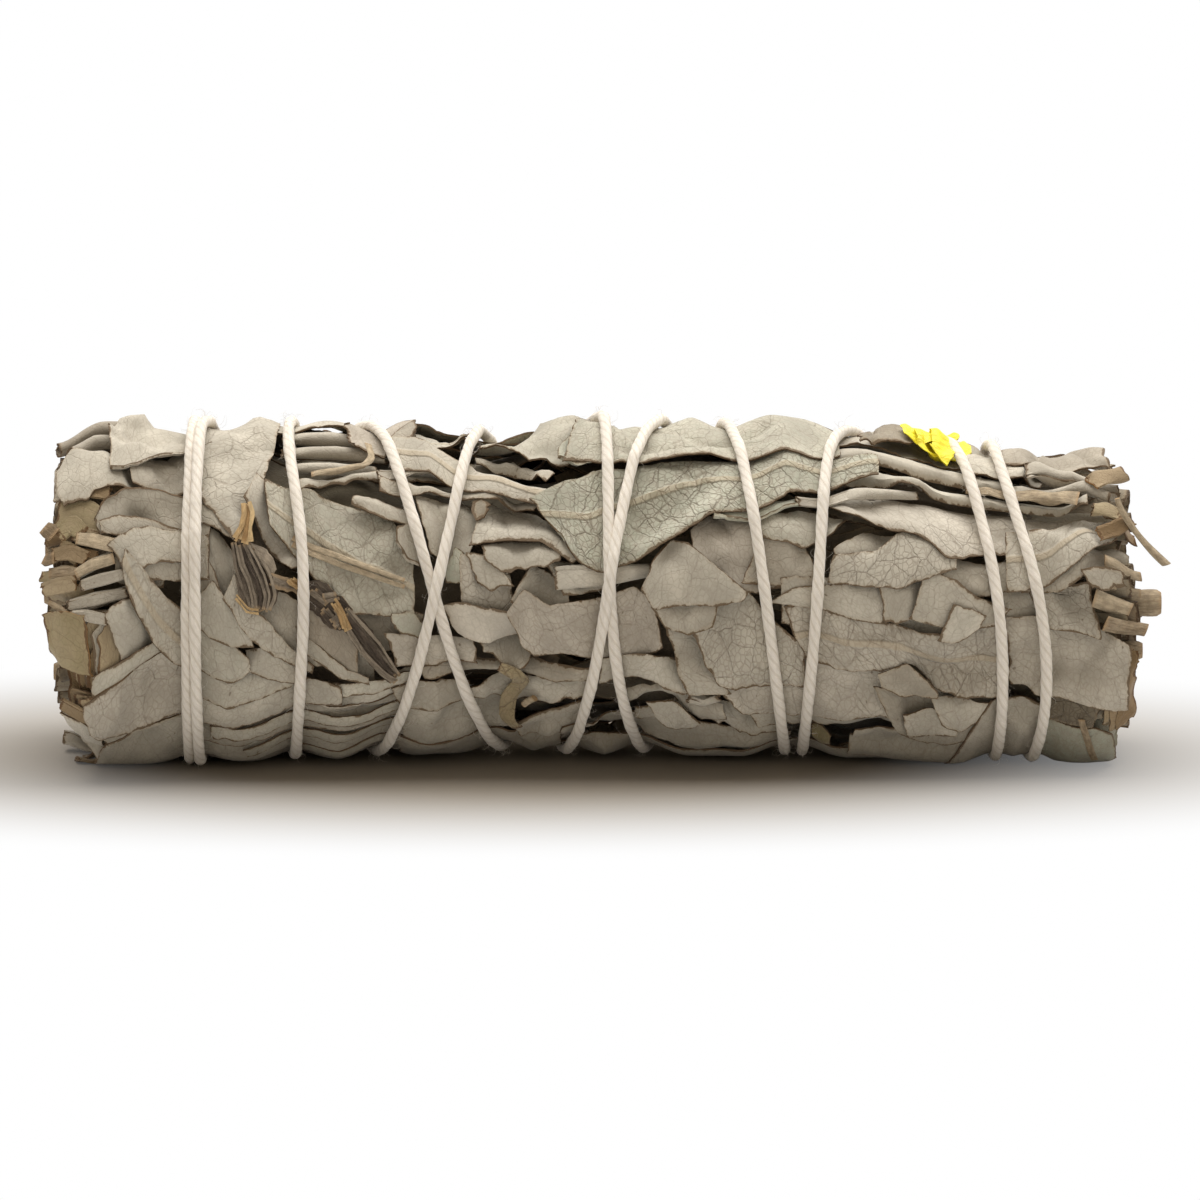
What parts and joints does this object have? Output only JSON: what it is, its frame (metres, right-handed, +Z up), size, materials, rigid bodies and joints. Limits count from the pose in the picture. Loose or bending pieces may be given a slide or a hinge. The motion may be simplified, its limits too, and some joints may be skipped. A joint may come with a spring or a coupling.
{
  "type": "smudge stick",
  "caption": "Short round bundle of dried sage leaves and stems, packed lengthwise and bound with crossed turns of cotton string, burned as incense.",
  "frame": {"origin": "on the resting plane, under the middle of the bundle's bounding box", "axes": "+X along the bundle towards the end with the thick cut stem, +Z up, -Y towards the front side with the twig"},
  "size_m": [0.1026, 0.0346, 0.031],
  "materials": {
    "sage_leaf": "matt, dry and finely felted, grey-beige, some leaves greener",
    "packed_leaf": "matt, dry, darker and browner than the outer leaves",
    "dry_stem": "matt dry plant stem, tan cut ends",
    "bark": "matt brown bark with pale frayed edges",
    "petal": "bright yellow dried petals, matt",
    "cotton": "natural twisted cotton, matt with fine fuzz"
  },
  "bodies": {
    "root": {"bark_strip": "bark", "bark_twig": "bark", "binding_string": "cotton", "leaf_arched": "sage_leaf", "leaf_back_1_1": "sage_leaf", "leaf_back_1_2": "sage_leaf", "leaf_back_2_1": "sage_leaf", "leaf_back_2_2": "sage_leaf", "leaf_back_3_1": "sage_leaf", "leaf_back_3_2": "sage_leaf", "leaf_back_4_1": "sage_leaf", "leaf_back_4_2": "sage_leaf", "leaf_beige_middle": "sage_leaf", "leaf_big_torn": "sage_leaf", "leaf_broad_right": "sage_leaf", "leaf_diamond": "sage_leaf", "leaf_end_low": "sage_leaf", "leaf_folded_low": "sage_leaf", "leaf_green_long": "sage_leaf", "leaf_left_block": "sage_leaf", "leaf_left_corner": "sage_leaf", "leaf_left_cut": "sage_leaf", "leaf_left_long_fold": "sage_leaf", "leaf_left_low": "sage_leaf", "leaf_left_mouth": "sage_leaf", "leaf_left_ragged": "sage_leaf", "leaf_left_veined": "sage_leaf", "leaf_long_roll": "sage_leaf", "leaf_low_large": "sage_leaf", "leaf_low_lens": "sage_leaf", "leaf_low_tip": "sage_leaf", "leaf_mid_block": "sage_leaf", "leaf_mid_folded": "sage_leaf", "leaf_pale_cracked": "sage_leaf", "leaf_right_folded": "sage_leaf", "leaf_right_pale": "sage_leaf", "leaf_right_veined": "sage_leaf", "leaf_roll_left": "sage_leaf", "leaf_roll_low_left": "sage_leaf", "leaf_scalloped": "sage_leaf", "leaf_top_lines": "sage_leaf", "leaf_top_middle": "sage_leaf", "leaf_top_right_end": "sage_leaf", "leaf_top_rolls": "sage_leaf", "leaf_top_strip": "sage_leaf", "leaf_top_torn": "sage_leaf", "leaf_under_long": "sage_leaf", "leaf_under_low": "sage_leaf", "leaf_under_right": "sage_leaf", "packed_leaves": "packed_leaf", "stem_left_1": "dry_stem", "stem_left_2": "dry_stem", "stem_left_3": "dry_stem", "stem_left_4": "dry_stem", "stem_right_1": "dry_stem", "stem_right_2": "dry_stem", "stem_right_3": "dry_stem", "stray_stem": "dry_stem", "string_knot": "cotton", "yellow_petals": "petal"}
  },
  "joints": []
}
